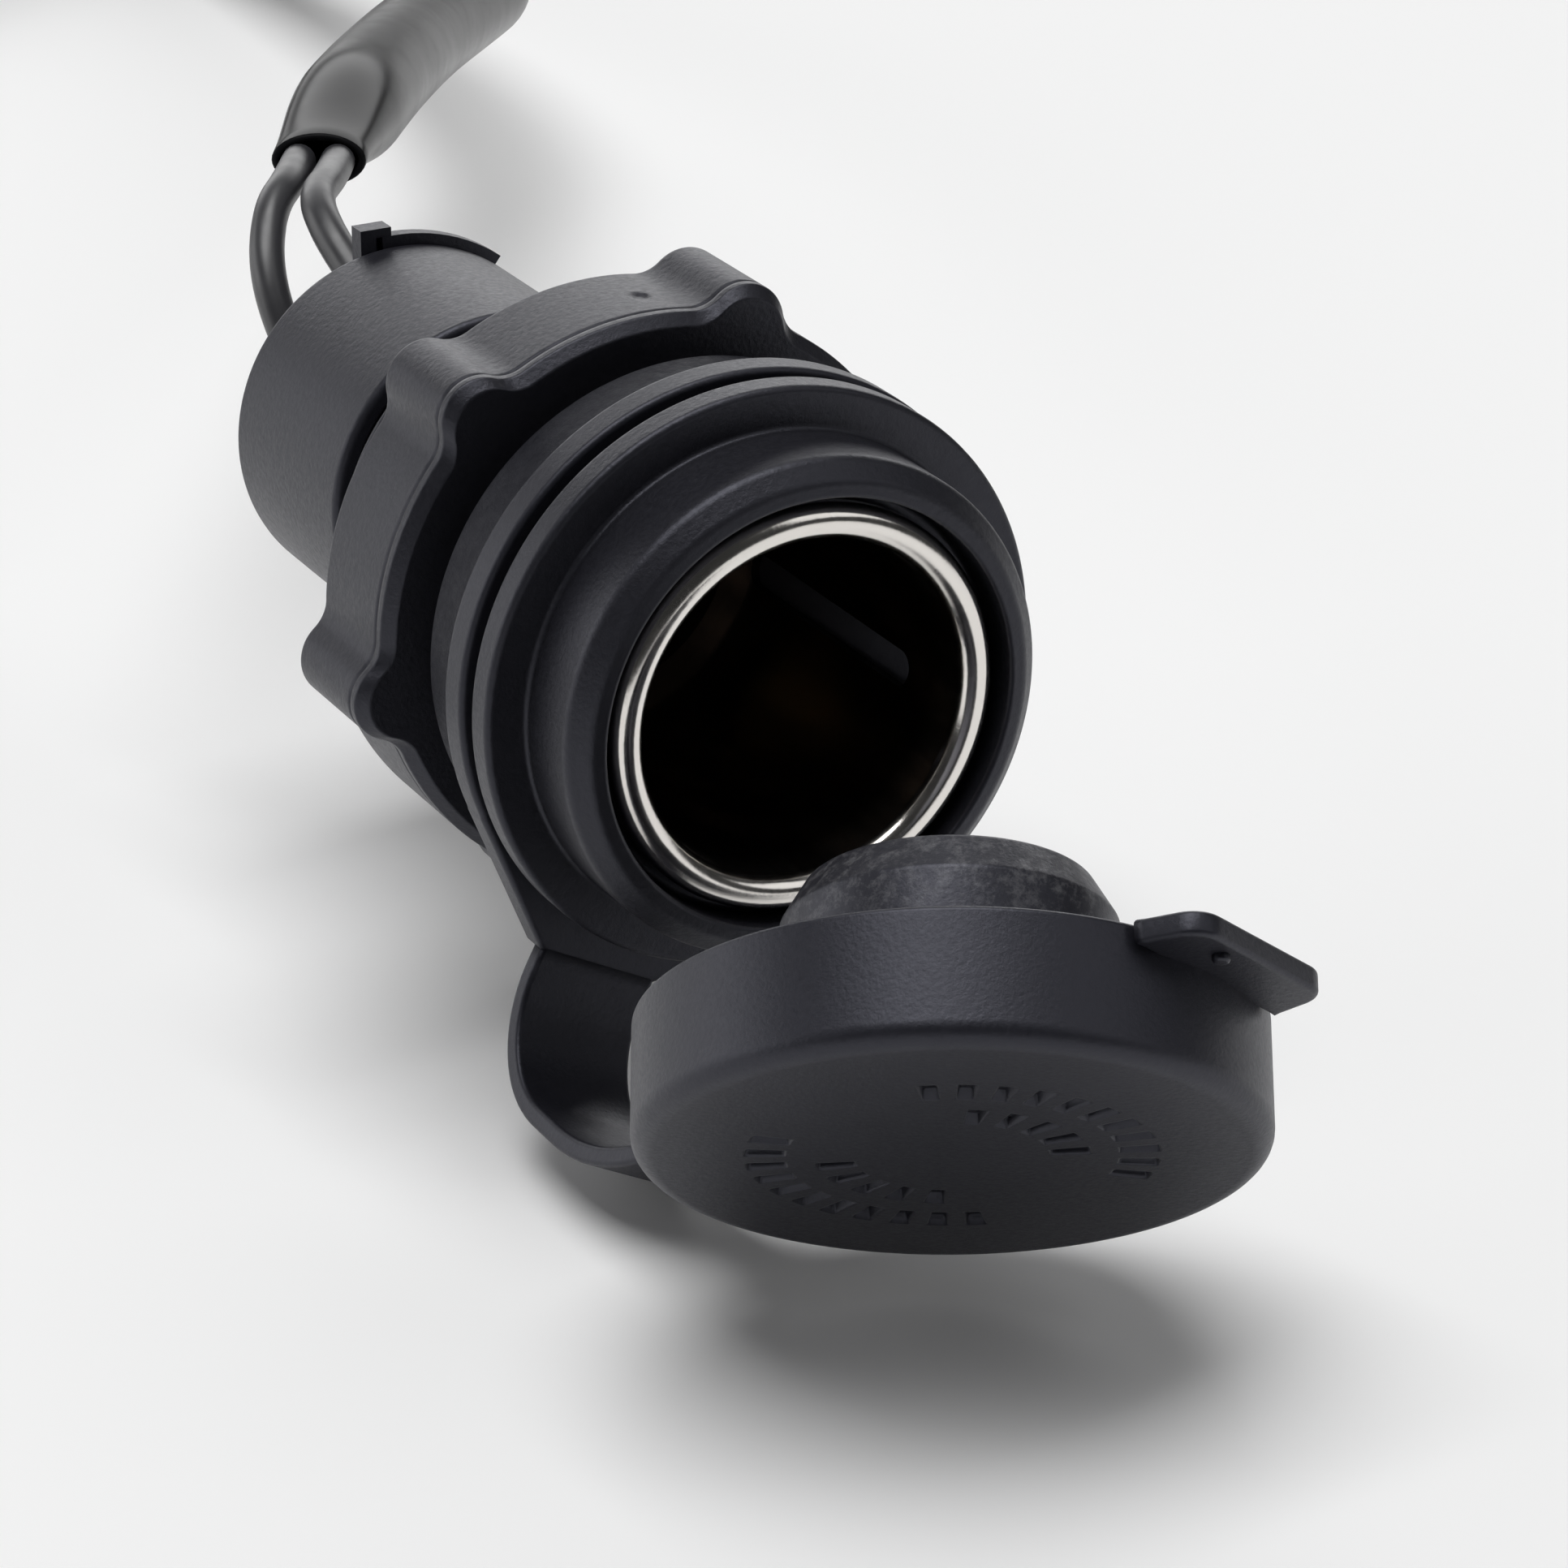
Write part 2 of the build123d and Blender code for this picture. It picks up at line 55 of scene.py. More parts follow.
nut = dict(front=2.4, back=11.3, bore=13.92, valley=18.4, lobes=6, lobe=2.6, lobeAt=17.85, lobeTurn=6.71,
           hollow=2.4, hollowAt=20.8, hollowTurn=12.03, clock=20.5, bevel=0.7, line=3.75, lineDeep=0.1,
           dotClock=3.0, dotY=6.6, dotReach=0.62, dotDeep=0.16)
gasket = dict(bore=13.85, outer=16.7, front=-5.4, back=0.0, edge=0.45)
ring = dict(bore=13.85, outer=18.2, front=-7.7, back=-5.4, lugReach=20.4, lugHalf=4.2,
            flank=18.245, flankTurn=40.47, edge=0.35)
cover = dict(bore=10.65, outer=11.85, front=24.6, back=40.6, edge=0.5)
cap = dict(radius=17.4, wall=1.3, lead=0.4, rim=-11.05, height=7.6, floor=1.4, edge=1.2,
           plug=9.4, plugReach=8.0, bevelLength=2.4, bevel=1.4, open=49.2)
# Each arc of marks: its middle and half spread in degrees, and its radius
marks = dict(tall=2.1, wide=0.95, pitch=2.0, deep=0.6, slope=0.1, ringFrom=4.6, ringTo=12.4, ringStep=0.12,
             arcs=((9.0, 58.0, 10.1), (6.0, 46.0, 6.4), (189.0, 62.0, 10.1), (183.0, 46.0, 6.4)))
tab = dict(clock=13.0, halfWidth=5.9, reach=3.1, thick=1.4, flare=1.0, root=2.4, corner=1.8, edge=0.3,
           sunk=0.8, pip=0.5, pipHigh=0.4, pipAcross=2.5, pipIn=1.25, pipEdge=0.2, pipSunk=0.2)
pad = dict(up=2.0, mid=2.7, reach=1.2, thick=5.0, sunk=0.8, edge=1.0, sideEdge=0.4)
strap = dict(clock=28.0, width=8.4, thick=1.2, edge=0.3, root=-9.43, rootOut=20.4, rootSunk=0.6,
             endSunk=0.5, low=28.5, dropR=7.0, riseR=14.0, hinge=(-0.96, 37.18), mouth=-16.5)
sheath = dict(diameter=8.2, wall=0.55, mouthDepth=7.0, coilMid=41.0, leadIn=28.0, stepFrom=310.0,
              coilTurn=630.0, coilStep=15.0, endR=24.6, endTurn=155.0, endSteps=9, coilZ=-22.516,
              mouthWide=3.3, mouthTall=1.9, mouthRun=22.0, sides=40, lipSteps=7)
core = dict(diameter=2.4, pitch=2.7, liveBack=-5.0, groundBack=-5.5)
lights = [
    dict(name="overhead", at=(-0.14, -0.02, 1.45), target=(0, 0, -0.02), size=(0.95, 1.3), strength=4.7),
    dict(name="backdrop", at=(0.9, 2.2, 0.85), target=(0, 0, 0.1), size=(3.2, 1.3), strength=2.3),
    dict(name="front_fill", at=(1.3, -1.3, 1.40), target=(0, 0, 0), size=(1.4, 1.2), strength=0.9),
    dict(name="left_wall", at=(-1.9, 1.3, 0.60), target=(0, 0, 0.1), size=(2.6, 1.1), strength=1.7)]
worldStrength = 0.03

turn = np.radians(strap["clock"])
outDir = np.array([-np.sin(turn), 0.0, -np.cos(turn)])
forwardDir = np.array([0.0, -1.0, 0.0])
acrossDir = np.cross(forwardDir, outDir)
mouthPoint = np.array([0.0, strap["mouth"], 0.0])


def strapSpace(forward, out, across):
    # Point in the strap's own plane: forward of the mouth, out from the axis, across the strap
    parts = [np.asarray(v, float)[..., None] for v in (forward, out, across)]
    return mouthPoint + parts[0] * forwardDir + parts[1] * outDir + parts[2] * acrossDir


def openOut(points):
    # Turn about the axis that the strap bends about, from the closed place to the open one
    pivot = strapSpace(strap["hinge"][0], strap["hinge"][1], 0.0)
    away = points - pivot
    angle = np.radians(cap["open"])
    along = (away @ acrossDir)[..., None] * acrossDir
    return pivot + along + (away - along) * np.cos(angle) + np.cross(acrossDir, away) * np.sin(angle)


def unit(v):
    return v / np.linalg.norm(v, axis=-1, keepdims=True)


def smooth(share):
    # Share from 0 to 1 with a level start and end
    return share * share * (3 - 2 * share)


# Half the angle of a corner, in radians, past which it counts as straight
nearlyStraight = 1.565


def rounded(corners, radii, closed=True, steps=6, hold=0.08, most=0.46):
    # Outline with an arc in each corner and a holding point on each side of it.
    # No arc takes more of a side than the share called most.
    corners = np.array(corners, float)
    count = len(corners)
    line = []
    for k in range(count):
        here = corners[k]
        if radii[k] <= 0 or (not closed and k in (0, count - 1)):
            line.append(here)
            continue
        back = corners[k - 1] - here
        ahead = corners[(k + 1) % count] - here
        shorter = min(np.linalg.norm(back), np.linalg.norm(ahead))
        back, ahead = unit(back), unit(ahead)
        half = np.arccos(np.clip(back @ ahead, -1, 1)) / 2
        if half > nearlyStraight:
            line.append(here)
            continue
        cut = min(radii[k] / np.tan(half), most * shorter)
        radius = cut * np.tan(half)
        centre = here + unit(back + ahead) * radius / np.sin(half)
        first, last = here + back * cut - centre, here + ahead * cut - centre
        sweep = np.pi - 2 * half
        share = np.linspace(0, 1, steps)[:, None]
        arc = (np.sin((1 - share) * sweep) * first + np.sin(share * sweep) * last) / np.sin(sweep)
        gap = min(hold, 0.03 * shorter)
        line.append(centre + first + back * gap)
        line.extend(centre + arc)
        line.append(centre + last + ahead * gap)
    return np.array(line)


def filled(line, step):
    # The same outline with extra points, so that no run is longer than step
    out = []
    for here, there in zip(line, np.roll(line, -1, 0)):
        count = max(1, int(np.ceil(np.linalg.norm(there - here) / step)))
        out.extend(here + (there - here) * k / count for k in range(count))
    return np.array(out)


def gridFaces(rows, cols, closeRows=True, closeCols=True):
    # Quads of a grid of points, wrapped round where a direction closes
    i, j = np.meshgrid(np.arange(rows - (not closeRows)), np.arange(cols - (not closeCols)), indexing="ij")
    down, right = (i + 1) % rows, (j + 1) % cols
    quads = [i * cols + j, i * cols + right, down * cols + right, down * cols + j]
    return np.stack(quads, -1).reshape(-1, 4)


def spun(loop, count, outline=None, base=0.0):
    # Closed (radius, y[, share]) loop turned about Y: radius + (outline(angle) - base) * share
    angle = np.radians(np.linspace(0, 360, count, endpoint=False))
    radius = np.repeat(loop[None, :, 0], count, 0)
    if outline is not None:
        radius = radius + (outline(np.degrees(angle))[:, None] - base) * loop[None, :, 2]
    points = np.stack([radius * np.sin(angle)[:, None], np.repeat(loop[None, :, 1], count, 0),
                       radius * np.cos(angle)[:, None]], -1)
    return points.reshape(-1, 3), gridFaces(count, len(loop))


def spunFromAxis(line, count):
    # Open (radius, y) line from axis to axis turned about Y, with one point at each pole
    angle = np.linspace(0, 2 * np.pi, count, endpoint=False)
    inner = line[1:-1]
    points = np.stack([inner[:, 0][None] * np.sin(angle)[:, None], np.repeat(inner[None, :, 1], count, 0),
                       inner[:, 0][None] * np.cos(angle)[:, None]], -1).reshape(-1, 3)
    faces = gridFaces(count, len(inner), True, False).tolist()
    poles = len(points) + np.arange(2)
    here = np.arange(count) * len(inner)
    there = np.roll(here, -1)
    last = len(inner) - 1
    faces += [[poles[0], a, b] for a, b in zip(here, there)]
    faces += [[poles[1], b + last, a + last] for a, b in zip(here, there)]
    ends = np.array([[0, line[0][1], 0], [0, line[-1][1], 0]])
    return np.vstack([points, ends]), faces


def ringsToSolid(rings):
    # Rings of equal length joined one to the next, with a flat face on each end
    rows, cols = rings.shape[:2]
    faces = gridFaces(rows, cols, False, True).tolist()
    faces += [list(range(cols - 1, -1, -1)), list(range((rows - 1) * cols, rows * cols))]
    return rings.reshape(-1, 3), faces


def slab(outline, low, high, edge, steps=5, rim=0.1):
    # Plate of a flat outline with rounded edges: rings that step in along the outline's normals
    along = unit(np.roll(outline, -1, 0) - np.roll(outline, 1, 0))
    inward = np.stack([-along[:, 1], along[:, 0]], -1)
    ahead = np.roll(outline, -1, 0)
    inward = inward * np.sign(np.sum(outline[:, 0] * ahead[:, 1] - outline[:, 1] * ahead[:, 0]))
    bend = np.linspace(0, np.pi / 2, steps)
    inset = np.r_[edge + rim, edge * (1 - np.sin(bend)), edge * (1 - np.cos(bend)), edge + rim]
    height = np.r_[low, low + edge * (1 - np.cos(bend)), high - edge * (1 - np.sin(bend)), high]
    return np.array([np.c_[outline + inward * i, np.full(len(outline), h)] for i, h in zip(inset, height)])


def signedVolume(points, faces):
    # Sum of the pyramids from the origin to each face, fans included
    total = 0.0
    for count in {len(f) for f in faces}:
        some = np.array([f for f in faces if len(f) == count])
        for k in range(1, count - 1):
            a, b, c = points[some[:, 0]], points[some[:, k]], points[some[:, k + 1]]
            total += np.einsum("ij,ij->i", a, np.cross(b, c)).sum()
    return total


def addPiece(name, parts, material, rides, replaced):
    # One mesh object from (points, faces) parts, each turned so that its faces look outward
    points, faces, first = [], [], 0
    for partPoints, partFaces in parts:
        partFaces = [list(map(int, f)) for f in partFaces]
        if signedVolume(partPoints - partPoints.mean(0), partFaces) < 0:
            partFaces = [f[::-1] for f in partFaces]
        faces += [[first + i for i in f] for f in partFaces]
        points.append(partPoints)
        first += len(partPoints)
    mesh = bpy.data.meshes.new(name)
    mesh.from_pydata((np.vstack(points) * mm).tolist(), [], faces)
    mesh.polygons.foreach_set("use_smooth", np.ones(len(faces), bool))
    mesh.update()
    obj = bpy.data.objects.new(name, mesh)
    bpy.context.scene.collection.objects.link(obj)
    mesh.materials.append(material)
    if rides:
        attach(obj, rides)
    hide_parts(*replaced)
    return obj


# Height of a full bump in metres
bumpHeight = 0.0002


def shaderNodes(name):
    material = bpy.data.materials.new(name)
    material.use_nodes = True
    tree = material.node_tree
    return material, tree, tree.nodes["Principled BSDF"]


def addNode(tree, kind, **values):
    # Node with its plain settings and socket values, sockets named with _ for a space
    made = tree.nodes.new(kind)
    for key, value in values.items():
        socket = made.inputs.get(key.replace("_", " "))
        if socket is not None:
            socket.default_value = value
        else:
            setattr(made, key, value)
    return made


def moulded(name, dark, light, rough, spread, grain, bump, patch=90.0, specular=0.5, metal=0.0, worn=None,
            gloss=(1.0, 1.0, 1.0), ior=1.5):
    # Base between two colours by a broad noise, roughness by a finer one, and a bump of fine grain
    material, tree, shader = shaderNodes(name)
    link = tree.links.new
    place = addNode(tree, "ShaderNodeTexCoord").outputs["Object"]
    broad = addNode(tree, "ShaderNodeTexNoise", Scale=patch, Detail=4.0, Roughness=0.6)
    fine = addNode(tree, "ShaderNodeTexNoise", Scale=grain, Detail=5.0, Roughness=0.65)
    for noise in (broad, fine):
        link(place, noise.inputs["Vector"])
    tint = addNode(tree, "ShaderNodeMix", data_type="RGBA")
    tint.inputs["A"].default_value = (*dark, 1)
    tint.inputs["B"].default_value = (*light, 1)
    share = addNode(tree, "ShaderNodeMapRange", From_Min=0.3, From_Max=0.7)
    link(broad.outputs["Fac"], share.inputs["Value"])
    link(share.outputs["Result"], tint.inputs["Factor"])
    link(tint.outputs["Result"], shader.inputs["Base Color"])
    sheen = addNode(tree, "ShaderNodeMapRange", From_Min=0.3, From_Max=0.7, To_Min=rough - spread,
                    To_Max=rough + spread)
    link(fine.outputs["Fac"], sheen.inputs["Value"])
    link(sheen.outputs["Result"], shader.inputs["Roughness"])
    lumps = addNode(tree, "ShaderNodeBump", Strength=bump, Distance=bumpHeight)
    link(fine.outputs["Fac"], lumps.inputs["Height"])
    link(lumps.outputs["Normal"], shader.inputs["Normal"])
    shader.inputs["Specular IOR Level"].default_value = specular
    shader.inputs["Specular Tint"].default_value = (*gloss, 1)
    shader.inputs["IOR"].default_value = ior
    shader.inputs["Metallic"].default_value = metal
    if worn:
        # Pale scuffs where the piece's own attribute is 1, broken up by a rough noise
        where = addNode(tree, "ShaderNodeAttribute", attribute_name="worn")
        scuff = addNode(tree, "ShaderNodeTexNoise", Scale=900.0, Detail=7.0, Roughness=0.8)
        link(place, scuff.inputs["Vector"])
        amount = addNode(tree, "ShaderNodeMapRange", From_Min=0.48, From_Max=0.68)
        link(scuff.outputs["Fac"], amount.inputs["Value"])
        part = addNode(tree, "ShaderNodeMath", operation="MULTIPLY")
        link(where.outputs["Fac"], part.inputs[0])
        link(amount.outputs["Result"], part.inputs[1])
        pale = addNode(tree, "ShaderNodeMix", data_type="RGBA")
        pale.inputs["B"].default_value = (*worn, 1)
        link(part.outputs["Value"], pale.inputs["Factor"])
        link(tint.outputs["Result"], pale.inputs["A"])
        link(pale.outputs["Result"], shader.inputs["Base Color"])
    return material


def platedSleeveWithPaintedShade(bright, paintedShade, brightFrom, paintedShadeFrom):
    # Plating that is bright at the lip, with painted shade that darkens it down the bore by depth along Y,
    # and long fine streaks
    material, tree, shader = shaderNodes("nickel_plate")
    link = tree.links.new
    place = addNode(tree, "ShaderNodeTexCoord")
    scaled = addNode(tree, "ShaderNodeMapping", Scale=(1.0, 0.15, 1.0))
    link(place.outputs["Object"], scaled.inputs["Vector"])
    streaks = addNode(tree, "ShaderNodeTexNoise", Scale=900.0, Detail=5.0, Roughness=0.65)
    link(scaled.outputs["Vector"], streaks.inputs["Vector"])
    spot = addNode(tree, "ShaderNodeSeparateXYZ")
    link(place.outputs["Object"], spot.inputs["Vector"])
    # Painted shade: the colour goes from the bright plate at the lip to a dark brown deeper in the bore,
    # where shade falls
    depth = addNode(tree, "ShaderNodeMapRange", From_Min=brightFrom * mm, From_Max=paintedShadeFrom * mm)
    link(spot.outputs["Y"], depth.inputs["Value"])
    tint = addNode(tree, "ShaderNodeMix", data_type="RGBA")
    tint.inputs["A"].default_value = (*bright, 1)
    tint.inputs["B"].default_value = (*paintedShade, 1)
    link(depth.outputs["Result"], tint.inputs["Factor"])
    link(tint.outputs["Result"], shader.inputs["Base Color"])
    sheen = addNode(tree, "ShaderNodeMapRange", To_Min=0.10, To_Max=0.26)
    link(streaks.outputs["Fac"], sheen.inputs["Value"])
    link(sheen.outputs["Result"], shader.inputs["Roughness"])
    lumps = addNode(tree, "ShaderNodeBump", Strength=0.06, Distance=bumpHeight)
    link(streaks.outputs["Fac"], lumps.inputs["Height"])
    link(lumps.outputs["Normal"], shader.inputs["Normal"])
    shader.inputs["Metallic"].default_value = 1.0
    return material


coolGloss = (0.84, 0.85, 1.0)
blackPlastic = moulded("black_plastic", (0.008, 0.008, 0.0105), (0.012, 0.012, 0.0155), rough=0.42,
                       spread=0.06, grain=2600.0, bump=0.22, specular=0.52, gloss=coolGloss)
blackRubber = moulded("black_rubber", (0.007, 0.007, 0.0100), (0.011, 0.011, 0.0150), rough=0.44, spread=0.05,
                      grain=3200.0, bump=0.16, specular=0.52, gloss=coolGloss)
gasketRubber = moulded("gasket_rubber", (0.005, 0.005, 0.007), (0.012, 0.012, 0.015), rough=0.60, spread=0.10,
                       grain=1700.0, bump=0.6, specular=0.35, patch=900.0, gloss=coolGloss)
capRubber = moulded("cap_rubber", (0.007, 0.007, 0.0100), (0.011, 0.011, 0.0150), rough=0.43, spread=0.05,
                    grain=3200.0, bump=0.16, specular=0.56, worn=(0.10, 0.10, 0.105), gloss=coolGloss)
# The second, dark colour is painted shade inside the bore, not a duller plating
nickelPlate = platedSleeveWithPaintedShade((0.80, 0.77, 0.73), (0.20, 0.165, 0.14), brightFrom=-14.9, paintedShadeFrom=-12.5)
phenolic = moulded("phenolic", (0.030, 0.014, 0.008), (0.050, 0.024, 0.012), rough=0.45, spread=0.08,
                   grain=1500.0, bump=0.2)
brass = moulded("brass", (0.20, 0.14, 0.06), (0.32, 0.23, 0.11), rough=0.40, spread=0.08, grain=1200.0,
                bump=0.1, metal=1.0)
zincSteel = moulded("zinc_steel", (0.52, 0.53, 0.54), (0.64, 0.65, 0.66), rough=0.34, spread=0.08,
                    grain=1400.0, bump=0.12, metal=1.0)
corePvc = moulded("core_pvc", (0.030, 0.030, 0.034), (0.040, 0.040, 0.045), rough=0.40, spread=0.05,
                  grain=700.0, bump=0.05, specular=0.8)
sheathPvc = moulded("sheath_pvc", (0.007, 0.007, 0.008), (0.011, 0.011, 0.012), rough=0.20, spread=0.03,
                    grain=160.0, bump=0.03, specular=0.07, ior=1.3)
tieNylon = moulded("tie_nylon", (0.012, 0.012, 0.013), (0.02, 0.02, 0.022), rough=0.42, spread=0.06,
                   grain=1500.0, bump=0.15)
print("materials made")


# Camera at the photograph's angle
def addCamera():
    data = bpy.data.cameras.new("camera")
    data.sensor_width = camera["sensor"]
    data.lens = camera["lens"]
    data.clip_start = 0.01
    obj = bpy.data.objects.new("camera", data)
    bpy.context.scene.collection.objects.link(obj)
    right, up = unit(np.array(camera["right"])), unit(np.array(camera["up"]))
    look = np.eye(4)
    look[:3, 0], look[:3, 1], look[:3, 2] = right, up, np.cross(right, up)
    look[:3, 3] = np.array(camera["at"]) * mm
    obj.matrix_world = Matrix(look.tolist())
    bpy.context.scene.camera = obj


addCamera()
print("camera set")

# Cords: the route points of the solids as control points of smooth splines
liveRoute = [(0, 34, 5.4), (0, 40.2, 5.4), (-1, 44.6, 8.4), (-1.5, 48.4, 10.8), (-0.5, 52.6, 11.9)]
groundRoute = [(0, 34, -6), (0, 40.6, -6), (-2.4, 45.4, -2.8), (-4.6, 48.2, 3), (-5, 51, 7.6),
               (-3, 54.6, 10.8)]
sheathRoute = [(3.8, 61.8, 11.2), (8.3, 69.9, 10.4), (15, 81.2, 8.6), (24.6, 97.7, 5.4), (37.7, 119.7, 0.8),
               (52.2, 142.1, -4), (60.9, 154.8, -6.4), (66, 169.5, -7.8), (70, 187, -9.6), (71, 204.5, -11.8),
               (71.1, 222, -14.6), (71, 238, -18.2), (71, 250, -20.9), (71, 259, sheath["coilZ"]),
               (71, 266, sheath["coilZ"])]


def coreMouth(side, along):
    # Where one core enters the sheath, and the point just before it
    first, second = np.array(sheathRoute[0]), np.array(sheathRoute[1])
    heading = unit(second - first)
    across = unit(np.cross(heading, (0, 0, 1)))
    return first + across * side * core["pitch"] / 2 + heading * along


def coilPoints():
    # Straight lead-in, an outer turn that steps in by one diameter, an inner turn, an arc into the middle
    last, before = np.array(sheathRoute[-1]), np.array(sheathRoute[-2])
    heading = unit(last - before)
    outer = sheath["coilMid"] + sheath["diameter"] / 2
    inner = sheath["coilMid"] - sheath["diameter"] / 2
    start = last + heading * sheath["leadIn"]
    centre = start + np.cross((0, 0, 1), heading) * outer
    angle = np.arange(sheath["coilStep"], sheath["coilTurn"] + 1.0, sheath["coilStep"])
    share = np.clip((angle - sheath["stepFrom"]) / (360.0 - sheath["stepFrom"]), 0, 1)
    radius = outer + (inner - outer) * smooth(share)
    bend = np.radians(angle)
    turns = centre + np.stack([radius * np.cos(bend), radius * np.sin(bend), 0 * bend], -1)
    pivot = centre + np.array([0, sheath["endR"] - inner, 0])
    bend = np.radians(np.linspace(0, sheath["endTurn"], sheath["endSteps"])[1:])
    arc = pivot + sheath["endR"] * np.stack([np.sin(bend), -np.cos(bend), 0 * bend], -1)
    return np.vstack([last + heading * sheath["leadIn"] * 0.5, start, turns, arc])


def spline(name, points, resolution=6, depth=0.0):
    # NURBS curve of order 3 that ends on its first and last control points
    curve = bpy.data.curves.new(name, "CURVE")
    curve.dimensions = "3D"
    curve.resolution_u = resolution
    curve.bevel_depth = depth
    curve.bevel_resolution = 8
    curve.use_fill_caps = True
    line = curve.splines.new("NURBS")
    line.points.add(len(points) - 1)
    line.points.foreach_set("co", np.c_[np.array(points) * mm, np.ones(len(points))].ravel())
    line.order_u = 3
    line.use_endpoint_u = True
    obj = bpy.data.objects.new(name, curve)
    bpy.context.scene.collection.objects.link(obj)
    return obj


def lineOf(obj):
    # Points along a curve with no bevel, in millimetres
    mesh = bpy.data.meshes.new_from_object(obj)
    points = np.zeros(len(mesh.vertices) * 3)
    mesh.vertices.foreach_get("co", points)
    bpy.data.meshes.remove(mesh)
    return points.reshape(-1, 3) / mm


def runLength(points):
    return np.linalg.norm(np.diff(points, axis=0), axis=1).sum()


def frames(points):
    # Tangent and two normals at each point, carried along so that they don't twist
    tangent = unit(np.gradient(points, axis=0))
    normal = np.zeros_like(tangent)
    normal[0] = unit(np.cross(tangent[0], (0.0, 0.0, 1.0)))
    for k in range(1, len(points)):
        flat = normal[k - 1] - tangent[k] * (normal[k - 1] @ tangent[k])
        normal[k] = unit(flat)
    return tangent, normal, np.cross(tangent, normal)


def addCores():
    for name, route, side, back in (("live_core_looks", liveRoute, 1, core["liveBack"]),
                                    ("ground_core_looks", groundRoute, -1, core["groundBack"])):
        points = route + [tuple(coreMouth(side, back)), tuple(coreMouth(side, 0.0))]
        run = runLength(lineOf(spline("line", points, 12)))
        bpy.data.objects.remove(bpy.data.objects["line"])
        obj = spline(name, points, 12, core["diameter"] / 2 * mm)
        obj.data.materials.append(corePvc)
        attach(obj, "socket")
        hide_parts(name.replace("_looks", ""))


def addSheath():
    guide = spline("sheath_line", np.vstack([sheathRoute, coilPoints()]), 8)
    path = lineOf(guide)
    bpy.data.objects.remove(guide)
    tangent, normal, across = frames(path)
    radius = sheath["diameter"] / 2
    angle = np.linspace(0, 2 * np.pi, sheath["sides"], endpoint=False)
    run = np.r_[0, np.cumsum(np.linalg.norm(np.diff(path, axis=0), axis=1))]

    def ringAt(k, inset, shift=0.0):
        # Ring that is flat round the two cores at the mouth and round after mouthRun
        share = smooth(np.clip((run[k] + shift) / sheath["mouthRun"], 0, 1))
        wide = sheath["mouthWide"] + (radius - sheath["mouthWide"]) * share - inset
        tall = sheath["mouthTall"] + (radius - sheath["mouthTall"]) * share - inset
        return path[k] + tangent[k] * shift + (wide * np.cos(angle)[:, None] * normal[k]
                                               + tall * np.sin(angle)[:, None] * across[k])

    lip = sheath["wall"] / 2
    rings = [ringAt(0, sheath["wall"], sheath["mouthDepth"]), ringAt(0, sheath["wall"], lip)]
    for bend in np.linspace(0, np.pi, sheath["lipSteps"])[1:-1]:
        rings.append(ringAt(0, lip + lip * np.cos(bend), lip * (1 - np.sin(bend))))
    rings.append(ringAt(0, 0.0, lip))
    rings += [ringAt(k, 0.0) for k in range(1, len(path))]
    obj = addPiece("lead_sheath_looks", [ringsToSolid(np.array(rings))], sheathPvc, "socket",
                   ("lead_sheath", "lead_coil"))
    print("sheath length", round(runLength(path), 1))


addCores()
addSheath()
print("cords made")


# Socket body: collar with its recess, flange, boss, thread rings, rear wall and spigot
def addBody():
    # Corners as radius, place along the axis and rounding
    b = body
    loop = [(b["collarBore"], b["collarFront"], 0.25),
            (b["collar"] - b["collarEdge"], b["collarFront"] + b["collarSlope"], 0.8),
            (b["collar"], b["collarFront"] + b["collarEdge"], 0.8), (b["collar"], b["flangeFront"], 0.3),
            (b["flange"], b["flangeFront"], 0.4), (b["flange"], b["flangeBack"], 0.4),
            (b["boss"], b["flangeBack"], 0.2), (b["boss"], b["bossBack"], 0.2),
            (b["thread"], b["bossBack"], 0.2)]
    for k in range(b["threadTurns"]):
        y = b["threadStart"] + k * b["threadPitch"]
        loop += [(b["thread"], y - b["crest"], 0.12), (b["thread"], y + b["crest"], 0.12),
                 (b["thread"] - b["threadDepth"], y + b["threadPitch"] / 2, 0.2)]
    loop += [(b["thread"], b["threadEnd"], 0.3), (b["spigot"], b["threadEnd"], 0.3),
             (b["spigot"], b["spigotEnd"], 0.3), (b["spigotIn"], b["spigotEnd"], 0.3),
             (b["spigotIn"], b["threadEnd"], 0.3), (b["stud"], b["threadEnd"], 0),
             (b["stud"], b["wallFront"], 0), (b["seatIn"], b["wallFront"], 0),
             (b["seatIn"], b["seatStep"], 0), (b["seat"], b["seatStep"], 0),
             (b["seat"], b["recess"], 0), (b["collarBore"], b["recess"], 0.4)]
    line = rounded([p[:2] for p in loop], [p[2] for p in loop])
    addPiece("socket_body_looks", [spun(line, 300)], blackPlastic, "socket",
             ("socket_body",))


# Ring nut: round lobes with hollows between, a front bevel and a fine mould line
def nutOutline(degrees):
    n = nut
    half = 180.0 / n["lobes"]
    step = np.abs((degrees - n["clock"] + half) % (2 * half) - half)
    bend = np.radians(step)
    side = n["lobe"]**2 - (n["lobeAt"] * np.sin(bend))**2
    lobe = n["lobeAt"] * np.cos(bend) + np.sqrt(np.maximum(side, 0))
    away = np.radians(step - n["hollowTurn"])
    side = n["hollow"]**2 - (n["hollowAt"] * np.sin(away))**2
    hollow = n["hollowAt"] * np.cos(away) - np.sqrt(np.maximum(side, 0))
    return np.where(step < n["lobeTurn"], lobe, np.where(step < n["hollowTurn"], hollow, n["valley"]))


